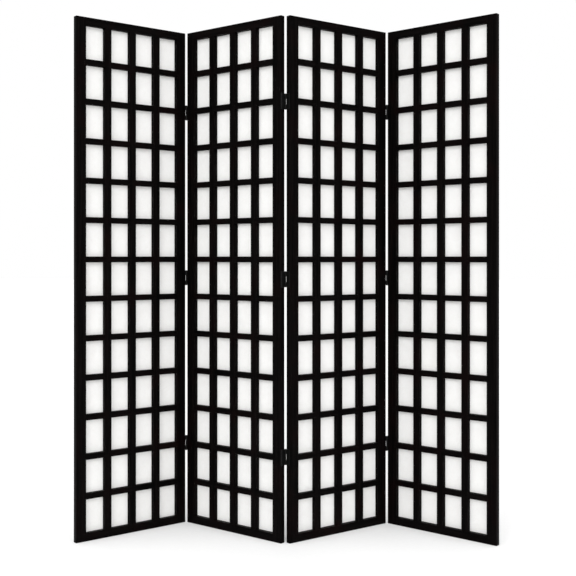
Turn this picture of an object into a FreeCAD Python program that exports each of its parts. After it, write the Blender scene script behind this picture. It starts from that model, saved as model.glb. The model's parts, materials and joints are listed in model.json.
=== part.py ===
import FreeCAD, Part
import math
import os

from FreeCAD import Placement, Rotation, Vector

# A four-panel folding shoji screen, standing open in a zigzag. All sizes are in millimetres.
#
# Each panel is a mortised and tenoned wooden frame around a half-lapped lattice, with one sheet
# of paper on the back of the lattice, held in a rebate of the frame by mitred beads.
# Neighbouring panels are joined by three two-way hinges: a leaf on each panel's edge, and between
# them a link that turns on a front pin and on a back pin, so that each fold closes either way.
#
# A panel is modelled in its own frame: x runs across it from its left edge, y through it from
# front to back with 0 at mid-thickness, and z up from the floor. A hinge is modelled about the
# middle of the gap between two panels laid flat, with z up from its own lower end.
# The standing screen has its origin on the floor, below the middle of its bounding box.

# The whole screen
panel_count = 4
screen_height = 1784.0
panel_width = 438.0
valley_angle = 77.0  # how far a fold that closes forward is turned from flat
peak_angle = 75.0  # how far a fold that closes backward is turned from flat

# Frame members, front view width or height, and their common thickness
frame_thickness = 19.0
stile_width = 37.0
rail_height = 28.0
arris = 1.0  # bevel on the frame's outer edges

# The tenons of the rails, in the mortises of the stiles
tenon_thickness = 7.0
tenon_height = 12.0
tenon_length = 24.0
tenon_setback = 5.0  # from the outer edge of the rail
tenon_clearance = 0.1
mortise_spare_depth = 1.0

# The rebate round the back of the opening, for the paper and its beads
rebate_width = 8.0
rebate_depth = 3.0

# The lattice
columns = 4
rows = 13
upright_width = 25.0
crossbar_height = 20.0
lattice_setback = 0.5  # from the front of the frame
housing_depth = 4.0  # how far the bars enter the frame
housing_clearance = 0.1
lap_clearance = 0.05

# The paper and the beads that hold its edges
paper_thickness = 0.3
paper_clearance = 0.5
bead_width = 7.0
bead_clearance = 0.3
bead_bevel = 1.2

# The hinges
hinge_height = 54.0
hinge_end_distance = 290.0  # from the end of the screen to the middle of its hinge
leaf_thickness = 1.0
pin_radius = 1.5
pin_clearance = 0.05
knuckle_wall = 1.0
knuckle_edge_clearance = 0.3  # from a knuckle to the edges of the panels
knuckle_end_clearance = 0.2  # from a knuckle to the next one on its pin
knuckle_sides = 8  # flats round a knuckle, and round its bore
pin_offset = 1.5  # from the faces of the panels out to the pin's axis
link_thickness = 1.0
link_clearance = 0.4  # from the link's plate to the knuckles of the leaves

# Worked out from the sizes above
half_thickness = frame_thickness / 2
opening_left = stile_width
opening_right = panel_width - stile_width
opening_bottom = rail_height
opening_top = screen_height - rail_height
cell_width = (opening_right - opening_left - (columns - 1) * upright_width) / columns
cell_height = (opening_top - opening_bottom - (rows - 1) * crossbar_height) / rows
lattice_front = -half_thickness + lattice_setback
lattice_back = half_thickness - rebate_depth
lap_plane = (lattice_front + lattice_back) / 2
upright_places = [
    opening_left + (i + 1) * cell_width + i * upright_width for i in range(columns - 1)
]
crossbar_places = [
    opening_bottom + (i + 1) * cell_height + i * crossbar_height for i in range(rows - 1)
]
knuckle_radius = pin_radius + knuckle_wall  # to the corners between its flats
half_side_angle = math.pi / knuckle_sides
panel_gap = 2 * (knuckle_radius + knuckle_edge_clearance)
pin_y = half_thickness + pin_offset
knuckle_height = (hinge_height - 2 * knuckle_end_clearance) / 3
hinge_places = {
    "lower": hinge_end_distance - hinge_height / 2,
    "middle": (screen_height - hinge_height) / 2,
    "upper": screen_height - hinge_end_distance - hinge_height / 2,
}


def block(x0, x1, y0, y1, z0, z1):
    """A rectangular block between two opposite corners."""
    return Part.makeBox(x1 - x0, y1 - y0, z1 - z0, Vector(x0, y0, z0))


def turned_over(piece):
    """The piece turned half round the middle of the panel's face: left to right and top to bottom."""
    middle = Vector(panel_width / 2, 0, screen_height / 2)
    other = piece.copy()
    other.rotate(middle, Vector(0, 1, 0), 180)
    return other


# ---------------------------------------------------------------- frame


def left_stile():
    """The left upright of the frame, mortised for the rails and housed for the crossbars."""
    stile = block(0, stile_width, -half_thickness, half_thickness, 0, screen_height)
    outer_edges = [
        edge for edge in stile.Edges
        if min(vertex.X for vertex in edge.Vertexes) < stile_width
    ]
    stile = stile.makeChamfer(arris, outer_edges)
    inner = stile_width - rebate_width
    low = opening_bottom - rebate_width
    high = opening_top + rebate_width
    cuts = [block(inner, stile_width, lattice_back, half_thickness, low, high)]
    for z in crossbar_places:
        cuts.append(
            block(
                stile_width - housing_depth, stile_width, lattice_front, lattice_back,
                z - housing_clearance, z + crossbar_height + housing_clearance,
            )
        )
    mortise = block(
        stile_width - tenon_length - mortise_spare_depth, stile_width,
        -tenon_thickness / 2 - tenon_clearance, tenon_thickness / 2 + tenon_clearance,
        tenon_setback - tenon_clearance, tenon_setback + tenon_height + tenon_clearance,
    )
    upper_mortise = mortise.copy()
    upper_mortise.rotate(Vector(0, 0, screen_height / 2), Vector(1, 0, 0), 180)
    return stile.cut(cuts + [mortise, upper_mortise])


def bottom_rail():
    """The lower rail of the frame with a tenon at each end, rebated, and housed for the uprights."""
    rail = block(opening_left, opening_right, -half_thickness, half_thickness, 0, rail_height)
    long_lower_edges = [
        edge for edge in rail.Edges
        if edge.BoundBox.XLength > rail_height and edge.BoundBox.ZMax < rail_height / 2
    ]
    rail = rail.makeChamfer(arris, long_lower_edges)
    tenons = block(
        opening_left - tenon_length, opening_right + tenon_length,
        -tenon_thickness / 2, tenon_thickness / 2,
        tenon_setback, tenon_setback + tenon_height,
    )
    cuts = [
        block(
            opening_left, opening_right, lattice_back, half_thickness,
            rail_height - rebate_width, rail_height,
        )
    ]
    for x in upright_places:
        cuts.append(
            block(
                x - housing_clearance, x + upright_width + housing_clearance,
                lattice_front, lattice_back, rail_height - housing_depth, rail_height,
            )
        )
    return rail.fuse(tenons).cut(cuts).removeSplitter()


# ---------------------------------------------------------------- lattice


def upright(x):
    """A lattice bar from rail to rail, whose back half is notched for every crossbar."""
    bar = block(
        x, x + upright_width, lattice_front, lattice_back,
        opening_bottom - housing_depth + housing_clearance,
        opening_top + housing_depth - housing_clearance,
    )
    notches = [
        block(
            x, x + upright_width, lap_plane, lattice_back,
            z - lap_clearance, z + crossbar_height + lap_clearance,
        )
        for z in crossbar_places
    ]
    return bar.cut(notches)


def crossbar(z):
    """A lattice bar from stile to stile, whose front half is notched for every upright."""
    bar = block(
        opening_left - housing_depth + housing_clearance,
        opening_right + housing_depth - housing_clearance,
        lattice_front, lattice_back, z, z + crossbar_height,
    )
    notches = [
        block(
            x - lap_clearance, x + upright_width + lap_clearance,
            lattice_front, lap_plane, z, z + crossbar_height,
        )
        for x in upright_places
    ]
    return bar.cut(notches)


# ---------------------------------------------------------------- paper and beads


def paper():
    """The sheet on the back of the lattice, with its edges lying in the rebate."""
    margin = rebate_width - paper_clearance
    return block(
        opening_left - margin, opening_right + margin,
        lattice_back, lattice_back + paper_thickness,
        opening_bottom - margin, opening_top + margin,
    )


def bead(corner_from, corner_to, inward):
    """One mitred strip of the beading, along one side of the rebate, bevelled along its inner edge.

    The corners are (x, z) points on its outer edge and inward is the unit (x, z) step to its
    inner edge, where each end is shorter by the strip's width.
    """
    front = lattice_back + paper_thickness
    start = Vector(corner_from[0], front, corner_from[1])
    end = Vector(corner_to[0], front, corner_to[1])
    along = (end - start).normalize() * bead_width
    across = Vector(inward[0], 0, inward[1]) * bead_width
    outline = [start, end, end - along + across, start + along + across, start]
    strip = Part.Face(Part.makePolygon(outline)).extrude(Vector(0, half_thickness - front, 0))
    inner_line = (start + end) * 0.5 + across
    bevelled = [
        edge for edge in strip.Edges
        if (edge.CenterOfMass - Vector(inner_line.x, half_thickness, inner_line.z)).Length < 0.001
    ]
    return strip.makeChamfer(bead_bevel, bevelled)


def beads():
    """The four strips that close the rebate behind the paper."""
    margin = rebate_width - bead_clearance
    left, right = opening_left - margin, opening_right + margin
    low, high = opening_bottom - margin, opening_top + margin
    return [
        bead((left, low), (right, low), (0, 1)),
        bead((right, low), (right, high), (-1, 0)),
        bead((right, high), (left, high), (0, -1)),
        bead((left, high), (left, low), (1, 0)),
    ]


# ---------------------------------------------------------------- hinges


def knuckle_post(y, corner_radius, bottom, top):
    """An upright prism on the axis of the pin at y, with a flat towards each side of the gap."""
    angles = [(2 * i + 1) * half_side_angle for i in range(knuckle_sides)]
    corners = [
        Vector(corner_radius * math.cos(angle), y + corner_radius * math.sin(angle), bottom)
        for angle in angles
    ]
    outline = Part.makePolygon(corners + corners[:1])
    return Part.Face(outline).extrude(Vector(0, 0, top - bottom))


def left_leaf():
    """The leaf on the left panel's edge. Its two end knuckles hold the front pin fast."""
    plate_left = -panel_gap / 2
    plate_right = plate_left + leaf_thickness
    plate_front = -half_thickness + arris
    knuckle_left = -knuckle_radius * math.cos(half_side_angle)
    leaf = block(plate_left, plate_right, plate_front, -plate_front, 0, hinge_height)
    arm_outline = [
        Vector(plate_left, plate_front, 0),
        Vector(plate_right, plate_front, 0),
        Vector(knuckle_left + leaf_thickness, -pin_y, 0),
        Vector(knuckle_left, -pin_y, 0),
        Vector(plate_left, plate_front, 0),
    ]
    arm = Part.Face(Part.makePolygon(arm_outline)).extrude(Vector(0, 0, knuckle_height))
    end_knuckle = arm.fuse(knuckle_post(-pin_y, knuckle_radius, 0, knuckle_height))
    upper_knuckle = end_knuckle.copy()
    upper_knuckle.translate(Vector(0, 0, hinge_height - knuckle_height))
    pin_bottom = knuckle_height / 2
    pin_length = hinge_height - knuckle_height
    pin = Part.makeCylinder(pin_radius, pin_length, Vector(0, -pin_y, pin_bottom))
    return leaf.fuse([end_knuckle, upper_knuckle, pin]).removeSplitter()


def right_leaf():
    """The leaf on the right panel's edge, the left leaf turned round, with the back pin."""
    leaf = left_leaf()
    leaf.rotate(Vector(0, 0, 0), Vector(0, 0, 1), 180)
    return leaf


def link():
    """The plate between the leaves, with an eye at each side that turns on one leaf's pin."""
    eye_bottom = knuckle_height + knuckle_end_clearance
    eye_top = eye_bottom + knuckle_height
    half_plate = pin_y - knuckle_radius - link_clearance
    half_link = link_thickness / 2
    plate = block(-half_link, half_link, -half_plate, half_plate, 0, hinge_height)
    bridge = block(-half_link, half_link, -pin_y, pin_y, eye_bottom, eye_top)
    eyes = [knuckle_post(y, knuckle_radius, eye_bottom, eye_top) for y in (-pin_y, pin_y)]
    bore_radius = (pin_radius + pin_clearance) / math.cos(half_side_angle)
    bores = [knuckle_post(y, bore_radius, eye_bottom, eye_top) for y in (-pin_y, pin_y)]
    return plate.fuse([bridge] + eyes).cut(bores).removeSplitter()


# ---------------------------------------------------------------- the standing screen


def plan(x, y, turn=0.0):
    """A place on the floor plan: a step to (x, y), then a turn about the vertical."""
    return Placement(Vector(x, y, 0), Rotation(Vector(0, 0, 1), turn))


def standing_places():
    """Where the panels, the links and the pins stand, from the left panel to the right one.

    Every other fold closes forward about its front pins, and the others backward about their
    back pins. The second panel and the third are turned alike to either side of the front.
    """
    panels = [plan(0, 0, valley_angle - peak_angle / 2)]
    links = []
    pins = []
    for fold in range(panel_count - 1):
        closes_forward = fold % 2 == 0
        front_turn = -valley_angle if closes_forward else 0
        back_turn = 0 if closes_forward else peak_angle
        front_pin = panels[-1] * plan(panel_width + panel_gap / 2, -pin_y)
        link_at_front_pin = front_pin * plan(0, 0, front_turn)
        back_pin = link_at_front_pin * plan(0, 2 * pin_y)
        links.append(link_at_front_pin * plan(0, pin_y))
        pins.append((front_pin.Base, back_pin.Base))
        panels.append(back_pin * plan(0, 0, back_turn) * plan(panel_gap / 2, -pin_y))
    return panels, links, pins


def placed(pieces, place, height=0.0):
    """Copies of the pieces at a place on the plan, as one shape."""
    matrix = (place * Placement(Vector(0, 0, height), Rotation())).toMatrix()
    copies = [piece.copy().transformShape(matrix, True) for piece in pieces]
    return copies[0] if len(copies) == 1 else Part.Compound(copies)


def standing_screen():
    """Every named piece of the screen in its place, before it is centred on the origin."""
    panel_pieces = {
        "left_stile": [left_stile()],
        "right_stile": [turned_over(left_stile())],
        "bottom_rail": [bottom_rail()],
        "top_rail": [turned_over(bottom_rail())],
        "uprights": [upright(x) for x in upright_places],
        "crossbars": [crossbar(z) for z in crossbar_places],
        "paper": [paper()],
        "beads": beads(),
    }
    panels, links, _ = standing_places()
    screen = {}
    for number, place in enumerate(panels, 1):
        for name, pieces in panel_pieces.items():
            screen[f"panel_{number}_{name}"] = placed(pieces, place)
    for fold, link_place in enumerate(links):
        left_place = panels[fold] * plan(panel_width + panel_gap / 2, 0)
        right_place = panels[fold + 1] * plan(-panel_gap / 2, 0)
        for level, height in hinge_places.items():
            name = f"fold_{fold + 1}_{level}_hinge"
            screen[f"{name}_left_leaf"] = placed([left_leaf()], left_place, height)
            screen[f"{name}_link"] = placed([link()], link_place, height)
            screen[f"{name}_right_leaf"] = placed([right_leaf()], right_place, height)
    return screen


def main():
    """Writes one file for each named piece, centred on the origin, and prints the pins' places."""
    screen = standing_screen()
    bounds = Part.Compound(list(screen.values())).optimalBoundingBox()
    to_origin = Vector(-bounds.Center.x, -bounds.Center.y, -bounds.ZMin)
    os.makedirs("parts", exist_ok=True)
    for name, shape in screen.items():
        shape.translate(to_origin)
        shape.exportStep(os.path.join("parts", name + ".step"))
    for fold, (front_pin, back_pin) in enumerate(standing_places()[2], 1):
        front = front_pin + to_origin
        back = back_pin + to_origin
        print(f"fold {fold} front pin at {front.x:.4f}, {front.y:.4f}")
        print(f"fold {fold} back pin at {back.x:.4f}, {back.y:.4f}")
    print(f"cells {cell_width:.2f} by {cell_height:.2f}, gap between panels {panel_gap:.2f}")


main()
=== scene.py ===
import json
import math

import bmesh
import bpy
import numpy as np
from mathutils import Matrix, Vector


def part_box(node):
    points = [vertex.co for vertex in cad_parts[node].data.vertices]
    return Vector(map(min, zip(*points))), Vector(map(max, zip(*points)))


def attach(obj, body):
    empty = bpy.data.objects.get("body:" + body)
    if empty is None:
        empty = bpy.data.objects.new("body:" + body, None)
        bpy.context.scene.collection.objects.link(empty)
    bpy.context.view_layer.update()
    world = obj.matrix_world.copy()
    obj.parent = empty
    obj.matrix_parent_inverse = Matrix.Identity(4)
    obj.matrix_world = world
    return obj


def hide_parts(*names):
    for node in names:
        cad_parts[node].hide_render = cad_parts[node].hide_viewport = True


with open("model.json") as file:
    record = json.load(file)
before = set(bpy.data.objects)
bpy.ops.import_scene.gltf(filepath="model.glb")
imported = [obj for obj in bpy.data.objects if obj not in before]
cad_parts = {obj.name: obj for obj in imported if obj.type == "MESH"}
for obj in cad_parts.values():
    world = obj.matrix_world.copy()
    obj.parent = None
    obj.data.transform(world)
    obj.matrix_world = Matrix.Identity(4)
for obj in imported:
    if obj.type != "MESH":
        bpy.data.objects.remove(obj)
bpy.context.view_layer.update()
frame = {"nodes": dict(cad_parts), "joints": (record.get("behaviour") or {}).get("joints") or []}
scene = bpy.context.scene

# The screen as it stands, in degrees
PANELS = 4
FOLDS = 3
VALLEY_FOLD = 77.0         # the outer gaps are folded forward by this much
PEAK_FOLD = 75.0           # the middle gap is folded backward by this much
FIRST_TURN = VALLEY_FOLD - PEAK_FOLD / 2
PANEL_TURNS = (
    FIRST_TURN,
    FIRST_TURN - VALLEY_FOLD,
    FIRST_TURN - VALLEY_FOLD + PEAK_FOLD,
    FIRST_TURN - 2 * VALLEY_FOLD + PEAK_FOLD,
)
PIN_PLACES = {joint["name"]: joint["pos_m"] for joint in frame["joints"]}

# The two-way hinge, in metres
HINGES = ("lower", "middle", "upper")
PIN_OUT = 0.011            # from the middle of a panel's edge to a pin's axis
PIN_RADIUS = 0.0015
BARREL_RADIUS = 0.0025     # rolled knuckle, outside
BARREL_EASE = 0.0003       # rounding of a knuckle's rims
PLATE_THICKNESS = 0.001
PLATE_CORNER = 0.0022
PLATE_RIM = 0.00022        # rounding of a plate's edges
LEAF_SPACING = 0.0023      # from the middle of the gap to the middle of a leaf's plate
LEAF_HALF_WIDTH = 0.0085
ARM_OVERLAP = 0.0012       # how far a knuckle's strip starts inside the plate
ARM_INSET = 0.0002         # how much shorter a knuckle's strip is than the knuckle, at each end
ARM_TUCK = 0.0001          # how far the strip's outer face stays inside the barrel
LINK_HALF_WIDTH = 0.0081
BRIDGE_OVERLAP = 0.001     # how far the link's bridge runs into plate and eye
BRIDGE_CORNER = 0.0004
BRIDGE_RIM = 0.0001
HINGE_HEIGHT = 0.054
KNUCKLE_HEIGHT = 0.0179
KNUCKLE_GAP = 0.0002
RIVET_DOME = 0.0007        # how far a riveted pin end stands out
RIVET_SPREAD = 0.0004      # how much wider than the shank it is
RIVET_TUCK = 0.0003        # how far the shank's own rings lie inside the ends
RIVET_TIP = 0.12           # angle at which the dome's first small ring is cut, in radians
SCREW_RADIUS = 0.0021
SCREW_HEIGHTS = (0.010, 0.044)
SCREW_DOME = 0.00022
SCREW_DEPTH = 0.0006       # how far the head is sunk in the plate
SLOT_DEPTH = 0.00055
SLOT_HALF_WIDTH = 0.00028
SLOT_REACH = 0.62          # share of the head's radius that the cross recess spans
SCREW_CENTRE = 0.02        # share of the radius at which the head's first ring lies

# Finishes, as red, green and blue
LACQUER_DEEP = (0.0006, 0.0005, 0.0005)
LACQUER_THIN = (0.0034, 0.0025, 0.0024)
LACQUER_IN_PORES = (0.0005, 0.0004, 0.0004)
WARM_WOOD = (0.0052, 0.0012, 0.0013)
RUBBED_WOOD = (0.013, 0.008, 0.006)
PAPER_THIN = (0.925, 0.921, 0.910)
PAPER_DENSE = (0.955, 0.953, 0.945)
PAPER_FIBRE = (0.86, 0.85, 0.825)
STEEL_DARK = (0.0030, 0.0032, 0.0032)
STEEL_PALE = (0.0085, 0.0086, 0.0084)
STEEL_RUBBED = (0.045, 0.044, 0.042)
FIBRE_LAYS = ((17.0, 230.0), (64.0, 280.0), (118.0, 210.0), (151.0, 320.0))    # degrees, strands per metre

# Studio and camera
FLOOR_REACH = 40.0
FLOOR_PARTS = 4
FLOOR_DROP = 0.0002        # keeps the floor just under the rails
SEEN = 1.0                 # white where the camera looks past the screen
AMBIENT = 0.70             # even light from all round
CAMERA_PLACE = (0.0392, -3.4643, 0.9650)
CAMERA_YAW = 1.294
CAMERA_LENS = 61.63
CAMERA_SENSOR = 36.0
CAMERA_SHIFT = (0.02293, -0.05252)


# ---------------------------------------------------------------- shader nodes

def node_tree(name):
    """A new material with its tree, its Principled shader and its Object coordinates."""
    material = bpy.data.materials.new(name)
    material.use_nodes = True
    tree = material.node_tree
    shader = tree.nodes["Principled BSDF"]
    place = tree.nodes.new("ShaderNodeTexCoord").outputs["Object"]
    return material, tree, shader, place


def turned_then_scaled(tree, vector, rotation, scale):
    """Coordinates turned by rotation, in degrees about each axis, and only then scaled along each axis."""
    turned = tree.nodes.new("ShaderNodeMapping")
    turned.inputs["Rotation"].default_value = [math.radians(angle) for angle in rotation]
    tree.links.new(vector, turned.inputs["Vector"])
    scaled = tree.nodes.new("ShaderNodeMapping")
    scaled.inputs["Scale"].default_value = scale
    tree.links.new(turned.outputs["Vector"], scaled.inputs["Vector"])
    return scaled.outputs["Vector"]


def noise(tree, vector, per_metre, detail, roughness, distortion=0.0):
    """Cloudy noise from 0 to 1, with so many swells to the metre."""
    made = tree.nodes.new("ShaderNodeTexNoise")
    made.inputs["Scale"].default_value = per_metre
    made.inputs["Detail"].default_value = detail
    made.inputs["Roughness"].default_value = roughness
    made.inputs["Distortion"].default_value = distortion
    tree.links.new(vector, made.inputs["Vector"])
    return made.outputs["Fac"]


def ramp(tree, value, *stops):
    """Tones along a value: each stop is its position, and a grey or a (red, green, blue)."""
    made = tree.nodes.new("ShaderNodeValToRGB")
    band = made.color_ramp
    while len(band.elements) < len(stops):
        band.elements.new(0.5)
    for element, (position, tone) in zip(band.elements, stops):
        element.position = position
        element.color = (*tone, 1) if isinstance(tone, tuple) else (tone, tone, tone, 1)
    tree.links.new(value, made.inputs["Fac"])
    return made.outputs["Color"]


def overlaid(tree, share, under, over):
    """Colour under, with over laid on it by share."""
    made = tree.nodes.new("ShaderNodeMix")
    made.data_type = "RGBA"
    tree.links.new(share, made.inputs["Factor"])
    tree.links.new(under, made.inputs["A"])
    made.inputs["B"].default_value = (*over, 1)
    return made.outputs["Result"]


def arithmetic(tree, how, first, second):
    """Two numbers or sockets put together by a Math node."""
    made = tree.nodes.new("ShaderNodeMath")
    made.operation = how
    for source, socket in zip((first, second), made.inputs):
        if isinstance(source, float):
            socket.default_value = source
        else:
            tree.links.new(source, socket)
    return made.outputs[0]


def bump(tree, shader, height, strength, depth, below=None):
    """Relief of a depth in metres, on top of the relief below if there is one."""
    made = tree.nodes.new("ShaderNodeBump")
    made.inputs["Strength"].default_value = strength
    made.inputs["Distance"].default_value = depth
    tree.links.new(height, made.inputs["Height"])
    if below is not None:
        tree.links.new(below, made.inputs["Normal"])
    tree.links.new(made.outputs["Normal"], shader.inputs["Normal"])
    return made.outputs["Normal"]


def worn_edges(tree, radius):
    """1 along the arrises, where a rounded normal leaves the flat one, and 0 on the flats."""
    rounded = tree.nodes.new("ShaderNodeBevel")
    rounded.samples = 4
    rounded.inputs["Radius"].default_value = radius
    flat = tree.nodes.new("ShaderNodeNewGeometry")
    along = tree.nodes.new("ShaderNodeVectorMath")
    along.operation = "DOT_PRODUCT"
    tree.links.new(rounded.outputs["Normal"], along.inputs[0])
    tree.links.new(flat.outputs["Normal"], along.inputs[1])
    return ramp(tree, arithmetic(tree, "SUBTRACT", 1.0, along.outputs["Value"]), (0.02, 0.0), (0.22, 1.0))


# ---------------------------------------------------------------- finishes

def lacquered_wood(name, turn, along_z, sheen, grain_depth):
    """Black lacquer over straight grain: fine pores and broader rings run along the member, the lacquer sinks
    into them a little, warm wood shows faintly through thin patches, and the arrises are rubbed."""
    material, tree, shader, place = node_tree(name)
    run = (1.0, 1.0, 0.03) if along_z else (0.03, 1.0, 1.0)
    grain = turned_then_scaled(tree, place, (0, 0, -turn), run)
    pores = noise(tree, grain, per_metre=900.0, detail=5.0, roughness=0.62, distortion=0.15)
    rings = noise(tree, grain, per_metre=150.0, detail=3.0, roughness=0.5, distortion=0.4)
    patches = noise(tree, place, per_metre=9.0, detail=4.0, roughness=0.6)
    ringed = ramp(tree, rings, (0.34, LACQUER_DEEP), (0.66, LACQUER_THIN))
    tone = overlaid(tree, ramp(tree, pores, (0.40, 0.65), (0.50, 0.0)), ringed, LACQUER_IN_PORES)
    tone = overlaid(tree, ramp(tree, patches, (0.48, 0.0), (0.74, 0.5)), tone, WARM_WOOD)
    handled = ramp(tree, patches, (0.40, 0.05), (0.70, 0.7))
    rubbed = arithmetic(tree, "MULTIPLY", worn_edges(tree, 0.0009), handled)
    tone = overlaid(tree, rubbed, tone, RUBBED_WOOD)
    tree.links.new(tone, shader.inputs["Base Color"])
    polish = noise(tree, place, per_metre=26.0, detail=5.0, roughness=0.6)
    gloss = ramp(tree, polish, (0.3, 0.40 - sheen), (0.7, 0.53 - sheen))
    gloss = arithmetic(tree, "ADD", gloss, arithmetic(tree, "MULTIPLY", pores, 0.07))
    tree.links.new(gloss, shader.inputs["Roughness"])
    shader.inputs["Specular IOR Level"].default_value = 0.02
    shader.inputs["Coat Weight"].default_value = 0.006
    shader.inputs["Coat Roughness"].default_value = 0.22
    ripple = noise(tree, place, per_metre=75.0, detail=2.0, roughness=0.5)
    sunk = bump(tree, shader, pores, strength=0.6, depth=grain_depth)
    bump(tree, shader, ripple, strength=0.12, depth=0.0004, below=sunk)
    return material


def shoji_paper(name, turn):
    """White paper: long thin fibres pressed at several angles into denser and thinner clouds of pulp, through
    which light from the other side shows."""
    material, tree, shader, place = node_tree(name)
    sheet = turned_then_scaled(tree, place, (0, 0, -turn), (1.0, 1.0, 1.0))
    fibres = None
    for spin, strands in FIBRE_LAYS:
        lay = turned_then_scaled(tree, sheet, (0, spin, 0), (1.0, 1.0, 0.09))
        level = noise(tree, lay, strands, detail=2.0, roughness=0.45, distortion=0.6)
        line = ramp(tree, level, (0.485, 0.0), (0.50, 1.0), (0.515, 0.0))
        tufts = noise(tree, sheet, strands * 0.4, detail=1.0, roughness=0.4)
        kept = ramp(tree, tufts, (0.50, 0.0), (0.56, 1.0))
        strand = arithmetic(tree, "MULTIPLY", line, kept)
        fibres = strand if fibres is None else arithmetic(tree, "MAXIMUM", fibres, strand)
    pulp = noise(tree, place, per_metre=38.0, detail=6.0, roughness=0.62)
    body = ramp(tree, pulp, (0.30, PAPER_THIN), (0.70, PAPER_DENSE))
    tone = overlaid(tree, arithmetic(tree, "MULTIPLY", fibres, 0.55), body, PAPER_FIBRE)
    tree.links.new(tone, shader.inputs["Base Color"])
    shader.inputs["Roughness"].default_value = 0.82
    shader.inputs["Specular IOR Level"].default_value = 0.25
    shader.inputs["Sheen Weight"].default_value = 0.06
    slack = noise(tree, place, per_metre=5.5, detail=2.0, roughness=0.4)
    cockle = bump(tree, shader, slack, strength=0.12, depth=0.004)
    clouds = bump(tree, shader, pulp, strength=0.22, depth=0.0004, below=cockle)
    bump(tree, shader, fibres, strength=0.30, depth=0.00012, below=clouds)
    through = tree.nodes.new("ShaderNodeBsdfTranslucent")
    tree.links.new(tone, through.inputs["Color"])
    both = tree.nodes.new("ShaderNodeMixShader")
    tree.links.new(ramp(tree, pulp, (0.25, 0.32), (0.75, 0.24)), both.inputs["Fac"])
    tree.links.new(shader.outputs["BSDF"], both.inputs[1])
    tree.links.new(through.outputs["BSDF"], both.inputs[2])
    tree.links.new(both.outputs["Shader"], tree.nodes["Material Output"].inputs["Surface"])
    return material


def blackened_steel(name, rubbed):
    """Oil-blackened steel: mottled dark finish, fine brushing up and down, rubbed brighter on its edges."""
    material, tree, shader, place = node_tree(name)
    brushed = turned_then_scaled(tree, place, (0, 0, 0), (1.0, 1.0, 0.05))
    strokes = noise(tree, brushed, per_metre=2600.0, detail=3.0, roughness=0.6)
    mottle = noise(tree, place, per_metre=420.0, detail=4.0, roughness=0.6)
    tone = ramp(tree, mottle, (0.3, STEEL_DARK), (0.7, STEEL_PALE))
    tone = overlaid(tree, arithmetic(tree, "MULTIPLY", worn_edges(tree, 0.0004), rubbed), tone, STEEL_RUBBED)
    tree.links.new(tone, shader.inputs["Base Color"])
    shader.inputs["Metallic"].default_value = 0.35
    shader.inputs["Specular IOR Level"].default_value = 0.12
    tree.links.new(ramp(tree, strokes, (0.3, 0.36), (0.7, 0.52)), shader.inputs["Roughness"])
    brushing = bump(tree, shader, strokes, strength=0.3, depth=0.00005)
    bump(tree, shader, mottle, strength=0.25, depth=0.0001, below=brushing)
    return material


def pale_floor(name):
    """Seamless paper underfoot: white, matt, with the faintest tooth."""
    material, tree, shader, place = node_tree(name)
    tooth = noise(tree, place, per_metre=60.0, detail=5.0, roughness=0.6)
    tree.links.new(ramp(tree, tooth, (0.3, 0.79), (0.7, 0.81)), shader.inputs["Base Color"])
    shader.inputs["Roughness"].default_value = 0.9
    shader.inputs["Specular IOR Level"].default_value = 0.1
    bump(tree, shader, tooth, strength=0.05, depth=0.0005)
    return material


# ---------------------------------------------------------------- surfaces

def grid_faces(rows, columns):
    """Four-sided faces between neighbours of a grid of points, row after row."""
    i, j = np.meshgrid(np.arange(rows - 1), np.arange(columns - 1), indexing="ij")
    first = i * columns + j
    return np.stack([first, first + columns, first + columns + 1, first + 1], -1).reshape(-1, 4).tolist()


def ring_faces(rings, around):
    """Four-sided faces between neighbouring rings, each ring closed on itself."""
    i, j = np.meshgrid(np.arange(rings - 1), np.arange(around), indexing="ij")
    ahead = (j + 1) % around
    low, high = i * around, (i + 1) * around
    return np.stack([low + j, low + ahead, high + ahead, high + j], -1).reshape(-1, 4).tolist()


def skin(name, layers, material):
    """A closed piece from a stack of rings: four-sided faces join each ring to the next, the first and last
    ring are filled, and every face points outward."""
    rings, around = layers.shape[:2]
    ends = [list(range(around))[::-1], list(range((rings - 1) * around, rings * around))]
    mesh = bpy.data.meshes.new(name)
    mesh.from_pydata(layers.reshape(-1, 3).tolist(), [], ring_faces(rings, around) + ends)
    smooth = np.ones(len(mesh.polygons), bool)
    smooth[-len(ends):] = False
    mesh.polygons.foreach_set("use_smooth", smooth)
    mesh.materials.append(material)
    work = bmesh.new()
    work.from_mesh(mesh)
    bmesh.ops.recalc_face_normals(work, faces=work.faces)
    work.to_mesh(mesh)
    work.free()
    piece = bpy.data.objects.new(name, mesh)
    scene.collection.objects.link(piece)
    return piece


def circle(around):
    """Angles of so many points spread evenly round a circle."""
    return np.linspace(0, 2 * math.pi, around, endpoint=False)


def rounded_plate(centre, half_width, half_height, corner=PLATE_CORNER, rim=PLATE_RIM, around=96):
    """Rings of a plate seen from its face: a rectangle whose corners are quarter circles of the corner
    radius, drawn in at both faces along a quarter circle of the rim radius. Its face looks along x."""
    across, up = np.cos(circle(around)), np.sin(circle(around))
    ease = np.linspace(0, math.pi / 2, 4)
    drawn = rim * (1 - np.sin(ease))
    sunk = rim * (1 - np.cos(ease))
    inset = np.concatenate([drawn, drawn[::-1]])[:, None]
    depth = np.concatenate([sunk, PLATE_THICKNESS - sunk[::-1]])[:, None]
    spread_y = half_width - corner + (corner - inset) * np.abs(across)
    spread_z = half_height - corner + (corner - inset) * np.abs(up)
    y = centre[1] + spread_y * np.sign(np.round(across, 9))
    z = centre[2] + spread_z * np.sign(np.round(up, 9))
    x = centre[0] - PLATE_THICKNESS / 2 + depth + 0 * y
    return np.stack([x, y, z], -1)


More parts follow.
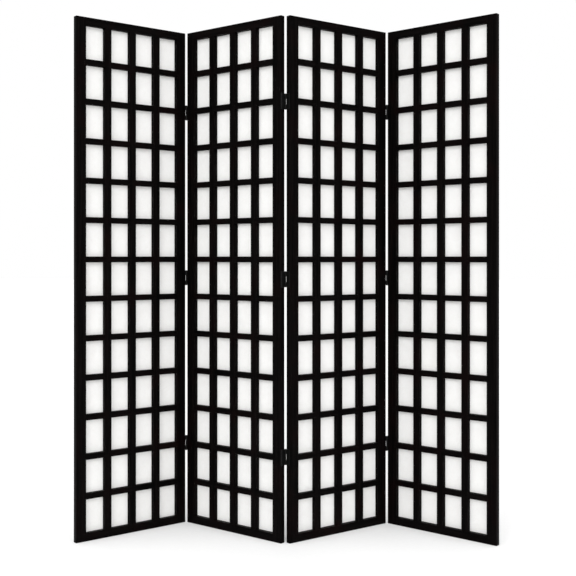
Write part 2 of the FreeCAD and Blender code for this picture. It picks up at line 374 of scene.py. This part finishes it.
def turned_round(centre, heights, radii, around=40):
    """Rings of a turned piece: a circle of each radius at each height about an upright axis."""
    radii = np.asarray(radii)[:, None]
    x = centre[0] + radii * np.cos(circle(around))
    y = centre[1] + radii * np.sin(circle(around))
    z = np.asarray(heights)[:, None] + 0 * x
    return np.stack([x, y, z], -1)


def barrel(centre, low, high):
    """A rolled knuckle: a cylinder whose two rims are eased by quarter circles."""
    turn = np.linspace(0, math.pi / 2, 5)
    rise = BARREL_EASE * (1 - np.cos(turn))
    radii = BARREL_RADIUS - BARREL_EASE * (1 - np.sin(turn))
    heights = np.concatenate([low + rise, (high - rise)[::-1]])
    return turned_round(centre, heights, np.concatenate([radii, radii[::-1]]))


def pin(centre, low, high):
    """A riveted pin: a straight shank with a low dome at each end, whose radius goes as the sine of an angle
    and its height as one less the cosine."""
    turn = np.linspace(RIVET_TIP, math.pi / 2, 7)
    rise = RIVET_DOME * (1 - np.cos(turn))
    dome = (PIN_RADIUS + RIVET_SPREAD) * np.sin(turn)
    shank = [low + RIVET_TUCK, high - RIVET_TUCK]
    heights = np.concatenate([low - RIVET_DOME + rise, shank, (high + RIVET_DOME - rise)[::-1]])
    return turned_round(centre, heights, np.concatenate([dome, [PIN_RADIUS, PIN_RADIUS], dome[::-1]]))


def wrapped_arm(side, low, high):
    """The strip that leaves a leaf's plate and bends into the knuckle: its middle line runs along the plate,
    then eases towards the pin along a half wave, and its thickness stays that of the plate."""
    start = LEAF_HALF_WIDTH - ARM_OVERLAP
    along = np.linspace(0, 1, 9)
    half = PLATE_THICKNESS / 2
    wave = (1 - np.cos(math.pi * along)) / 2
    middle = side * (LEAF_SPACING - wave * (LEAF_SPACING - BARREL_RADIUS + half + ARM_TUCK))
    x = middle[:, None] + np.array([-half, half, half, -half])
    y = -(start + along * (PIN_OUT - start))[:, None] + 0 * x
    z = np.array([low, low, high, high]) + 0 * x
    return np.stack([x, y, z], -1)


def screw_head(centre, towards):
    """A countersunk head with a cross recess: a shallow dome over a polar grid, sunk along two crossed slots
    whose depth falls off towards their ends, with its rim carried down into the plate."""
    reach = np.linspace(SCREW_CENTRE, 1.0, 14)[:, None] * SCREW_RADIUS
    y, z = reach * np.cos(circle(48)), reach * np.sin(circle(48))
    dome = SCREW_DOME * (1 - (reach / SCREW_RADIUS) ** 2)
    slot = np.exp(-(np.minimum(np.abs(y), np.abs(z)) / SLOT_HALF_WIDTH) ** 4)
    ends = np.clip(1 - (reach / (SLOT_REACH * SCREW_RADIUS)) ** 6, 0, 1)
    height = dome - SLOT_DEPTH * slot * ends
    top = np.stack([centre[0] + towards * height, centre[1] + y, centre[2] + z], -1)
    rim = top[-1:].copy()
    rim[..., 0] = centre[0] - towards * SCREW_DEPTH
    return np.concatenate([top, rim])


def stood(layers, origin, turn):
    """Rings turned about the upright axis and moved to a hinge's own place."""
    c, s = math.cos(math.radians(turn)), math.sin(math.radians(turn))
    x, y, z = layers[..., 0], layers[..., 1], layers[..., 2]
    return np.stack([origin[0] + c * x - s * y, origin[1] + s * x + c * y, origin[2] + z], -1)


# ---------------------------------------------------------------- hinges

def joined(name, stacks, material, body, slot, *stands_for):
    """One piece made of several closed skins, riding on a body in the place of CAD nodes."""
    skins = [skin(f"{name}_{number}", stack, material) for number, stack in enumerate(stacks)]
    with bpy.context.temp_override(active_object=skins[0], selected_editable_objects=skins):
        bpy.ops.object.join()
    whole = skins[0]
    whole.name = name
    whole.data.name = name
    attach(whole, body)
    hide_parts(*stands_for)


def hinge_leaf(side, origin, turn, body, node, steel):
    """A leaf with its two end knuckles, its fast pin and two screws. side is -1 for the leaf on the left
    panel, which carries the front pin, and 1 for the one on the right panel, which carries the back pin."""
    axis = (0.0, -PIN_OUT)
    stacks = [rounded_plate((side * LEAF_SPACING, 0, HINGE_HEIGHT / 2), LEAF_HALF_WIDTH, HINGE_HEIGHT / 2)]
    for low, high in ((0.0, KNUCKLE_HEIGHT), (HINGE_HEIGHT - KNUCKLE_HEIGHT, HINGE_HEIGHT)):
        stacks.append(barrel(axis, low, high))
        stacks.append(wrapped_arm(side, low + ARM_INSET, high - ARM_INSET))
    stacks.append(pin(axis, 0.0, HINGE_HEIGHT))
    for height in SCREW_HEIGHTS:
        stacks.append(screw_head((side * (LEAF_SPACING - PLATE_THICKNESS / 2), 0.0, height), -side))
    front_to_back = np.array([1, -side, 1])
    stacks = [stood(stack * front_to_back, origin, turn) for stack in stacks]
    joined(f"{node}_steel", stacks, steel, body, "hinge_leaf_metal", node)


def hinge_link(origin, turn, body, node, steel):
    """The middle piece: a plate with an eye on a front pin and an eye on a back pin."""
    low = KNUCKLE_HEIGHT + KNUCKLE_GAP
    high = HINGE_HEIGHT - KNUCKLE_HEIGHT - KNUCKLE_GAP
    middle = HINGE_HEIGHT / 2
    reach = (PIN_OUT - LINK_HALF_WIDTH) / 2 + BRIDGE_OVERLAP
    stacks = [rounded_plate((0, 0, middle), LINK_HALF_WIDTH, middle)]
    for way in (-1, 1):
        stacks.append(barrel((0.0, way * PIN_OUT), low, high))
        bridge_middle = (0, way * (LINK_HALF_WIDTH + PIN_OUT) / 2, middle)
        stacks.append(rounded_plate(bridge_middle, reach, (high - low) / 2, BRIDGE_CORNER, BRIDGE_RIM, 32))
    stacks = [stood(stack, origin, turn) for stack in stacks]
    joined(f"{node}_steel", stacks, steel, body, "hinge_link_metal", node)


def beside_pin(pin_place, turn, way, foot):
    """A hinge piece's own origin: its foot, PIN_OUT from a pin along the panel's thickness."""
    angle = math.radians(turn)
    x = pin_place[0] - way * math.sin(angle) * PIN_OUT
    y = pin_place[1] + way * math.cos(angle) * PIN_OUT
    return x, y, foot


def hang_hinges():
    """The three hinges of each gap. The links lie along whichever panel is turned further clockwise."""
    leaf_steel = blackened_steel("blackened_steel_leaf", 0.7)
    link_steel = blackened_steel("blackened_steel_link", 0.9)
    for fold in range(1, FOLDS + 1):
        front = PIN_PLACES[f"fold_{fold}_front_pins"]
        back = PIN_PLACES[f"fold_{fold}_back_pins"]
        left_turn, right_turn = PANEL_TURNS[fold - 1:fold + 1]
        link_turn = min(left_turn, right_turn)
        for where in HINGES:
            stem = f"fold_{fold}_{where}_hinge"
            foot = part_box(f"{stem}_link")[0].z
            hinge_leaf(-1, beside_pin(front, left_turn, 1, foot), left_turn, f"panel_{fold}",
                       f"{stem}_left_leaf", leaf_steel)
            hinge_leaf(1, beside_pin(back, right_turn, -1, foot), right_turn, f"panel_{fold + 1}",
                       f"{stem}_right_leaf", leaf_steel)
            hinge_link(beside_pin(front, link_turn, 1, foot), link_turn, f"fold_{fold}_links",
                       f"{stem}_link", link_steel)


# ---------------------------------------------------------------- panels

def finish_panel(number, turn):
    """Gives each piece of a panel its finish, with the grain along the member."""
    stile_wood = lacquered_wood(f"lacquered_stile_wood_{number}", turn, True, 0.04, 0.00022)
    rail_wood = lacquered_wood(f"lacquered_rail_wood_{number}", turn, False, 0.04, 0.00022)
    upright_wood = lacquered_wood(f"lacquered_upright_wood_{number}", turn, True, 0.0, 0.00016)
    crossbar_wood = lacquered_wood(f"lacquered_crossbar_wood_{number}", turn, False, 0.0, 0.00016)
    finishes = {
        "left_stile": stile_wood,
        "right_stile": stile_wood,
        "bottom_rail": rail_wood,
        "top_rail": rail_wood,
        "uprights": upright_wood,
        "crossbars": crossbar_wood,
        "beads": upright_wood,
        "paper": shoji_paper(f"shoji_paper_{number}", turn),
    }
    for part, finish in finishes.items():
        mesh = frame["nodes"][f"panel_{number}_{part}"].data
        mesh.materials.clear()
        mesh.materials.append(finish)


# ---------------------------------------------------------------- studio

def lay_floor():
    """A wide flat floor, an even grid of points, that keeps the screen's soft shadow."""
    spread = np.linspace(-FLOOR_REACH, FLOOR_REACH, FLOOR_PARTS + 1)
    x, y = np.meshgrid(spread, spread, indexing="ij")
    points = np.stack([x, y, 0 * x - FLOOR_DROP], -1).reshape(-1, 3)
    mesh = bpy.data.meshes.new("studio_floor")
    mesh.from_pydata(points.tolist(), [], grid_faces(FLOOR_PARTS + 1, FLOOR_PARTS + 1))
    mesh.materials.append(pale_floor("studio_floor_paper"))
    floor = bpy.data.objects.new("studio_floor", mesh)
    scene.collection.objects.link(floor)


def sun(name, azimuth, elevation, softness, strength):
    """Even studio light from far off: it comes from azimuth degrees to the right of the camera's side and
    elevation degrees up, and softness is how many degrees wide it looks."""
    light = bpy.data.lights.new(name, "SUN")
    light.energy = strength
    light.angle = math.radians(softness)
    holder = bpy.data.objects.new(name, light)
    holder.rotation_euler = (math.radians(90 - elevation), 0, math.radians(azimuth))
    scene.collection.objects.link(holder)


def light_room():
    """A white room: even light from all round, and plain white where the camera sees it."""
    world = bpy.data.worlds.new("studio")
    scene.world = world
    world.use_nodes = True
    tree = world.node_tree
    shade = tree.nodes["Background"]
    shade.inputs["Color"].default_value = (1.0, 1.0, 1.0, 1)
    path = tree.nodes.new("ShaderNodeLightPath")
    brighter = arithmetic(tree, "MULTIPLY", path.outputs["Is Camera Ray"], SEEN - AMBIENT)
    tree.links.new(arithmetic(tree, "ADD", brighter, AMBIENT), shade.inputs["Strength"])


def set_camera():
    """A level camera in front of the screen, with the photograph's framing."""
    eye = bpy.data.cameras.new("camera")
    eye.sensor_width = CAMERA_SENSOR
    eye.lens = CAMERA_LENS
    eye.shift_x, eye.shift_y = CAMERA_SHIFT
    camera = bpy.data.objects.new("camera", eye)
    camera.location = CAMERA_PLACE
    camera.rotation_euler = (math.pi / 2, 0.0, math.radians(CAMERA_YAW))
    scene.collection.objects.link(camera)
    scene.camera = camera


hang_hinges()
for number, turn in zip(range(1, PANELS + 1), PANEL_TURNS):
    finish_panel(number, turn)
lay_floor()
sun("key_light", azimuth=-15, elevation=28, softness=40, strength=1.32)
sun("fill_light", azimuth=32, elevation=20, softness=60, strength=0.72)
sun("overhead_light", azimuth=-20, elevation=84, softness=35, strength=1.55)
light_room()
set_camera()
scene.view_settings.view_transform = "Standard"
